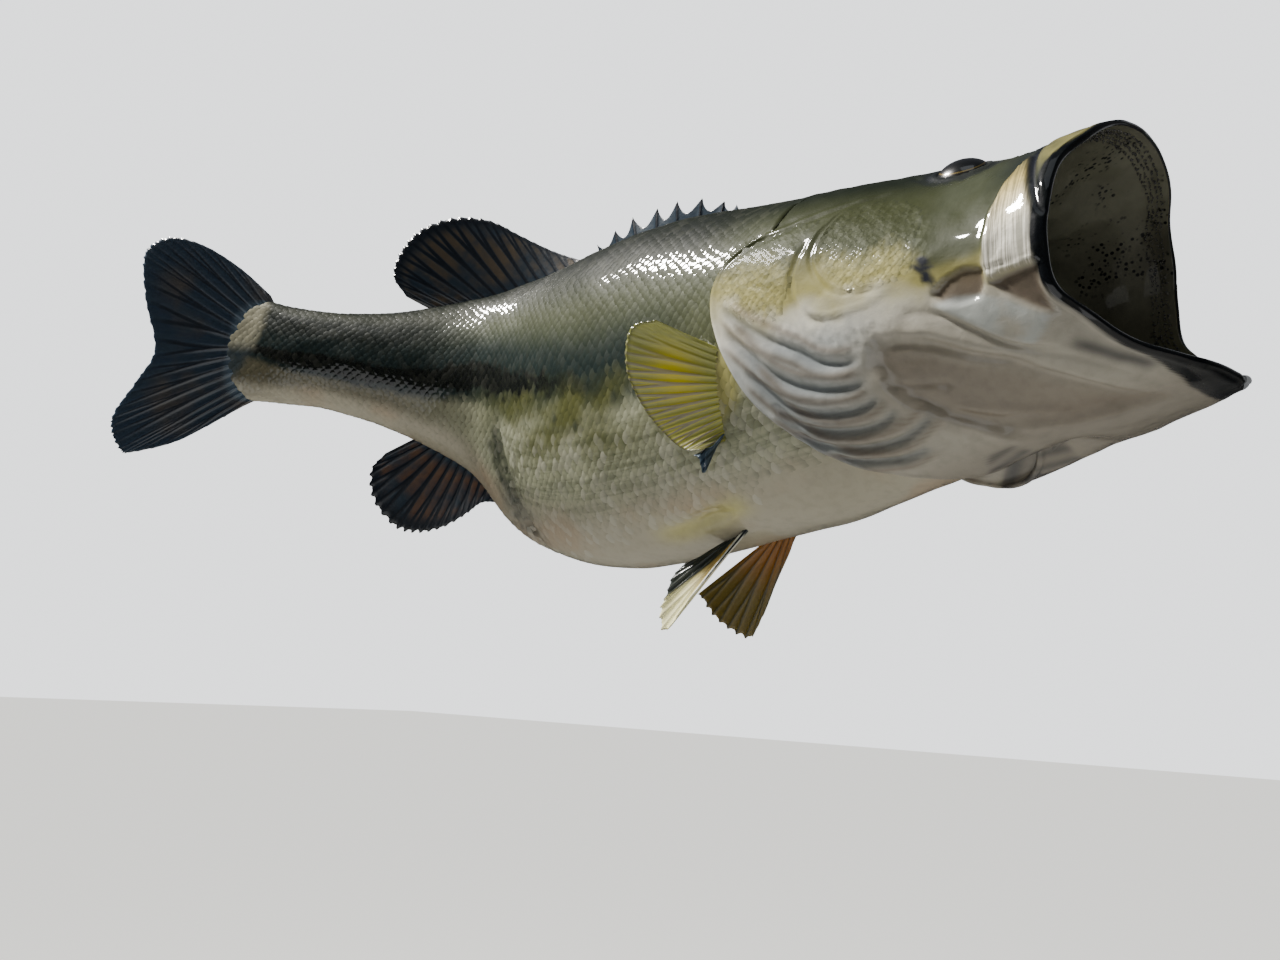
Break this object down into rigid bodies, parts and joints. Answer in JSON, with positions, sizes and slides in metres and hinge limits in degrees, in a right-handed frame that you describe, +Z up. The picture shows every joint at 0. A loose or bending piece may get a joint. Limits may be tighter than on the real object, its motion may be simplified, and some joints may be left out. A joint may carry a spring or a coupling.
{
  "type": "mounted largemouth bass",
  "caption": "Life-size largemouth bass wall mount, mouth wide open, head turned out and tail swept forward, on a small wooden hanger.",
  "frame": {"origin": "centre of the wooden hanger's back face, on the wall plane", "axes": "+X toward the fish's head along the wall, +Y into the wall, +Z up"},
  "size_m": [0.5647, 0.1723, 0.2422],
  "materials": {
    "olive_skin": "olive green painted skin with scales under a clear gloss coat",
    "pale_skin": "cream and silver painted skin under a clear gloss coat",
    "gill_skin": "gold, olive and silver painted head skin under a clear gloss coat",
    "lip_skin": "dark grey-green glossy lip",
    "throat_skin": "dark satin mouth lining",
    "dark_fin": "blue-black ribbed fin, glossy",
    "yellow_fin": "yellow olive ribbed fin, glossy",
    "glass_eye": "black glass eye with a thin gold ring",
    "hanger_wood": "plain sealed wood"
  },
  "bodies": {
    "root": {"trunk_front": "olive_skin", "trunk_middle": "olive_skin", "trunk_rear": "olive_skin", "tail_stalk": "olive_skin", "throat": "throat_skin", "skull": "olive_skin", "upper_lip": "lip_skin", "lower_jaw": "pale_skin", "gill_cover_right": "gill_skin", "cheek_right": "gill_skin", "maxilla_right": "gill_skin", "mouth_corner_right": "pale_skin", "gill_membrane_right": "pale_skin", "eye_right": "glass_eye", "pectoral_fin_right": "yellow_fin", "pelvic_fin_right": "yellow_fin", "gill_cover_left": "gill_skin", "cheek_left": "gill_skin", "maxilla_left": "gill_skin", "mouth_corner_left": "pale_skin", "gill_membrane_left": "pale_skin", "eye_left": "glass_eye", "pectoral_fin_left": "yellow_fin", "pelvic_fin_left": "yellow_fin", "dorsal_fin_spiny": "dark_fin", "dorsal_fin_soft": "dark_fin", "anal_fin": "dark_fin", "tail_fin": "dark_fin", "wall_hanger": "hanger_wood"}
  },
  "joints": []
}
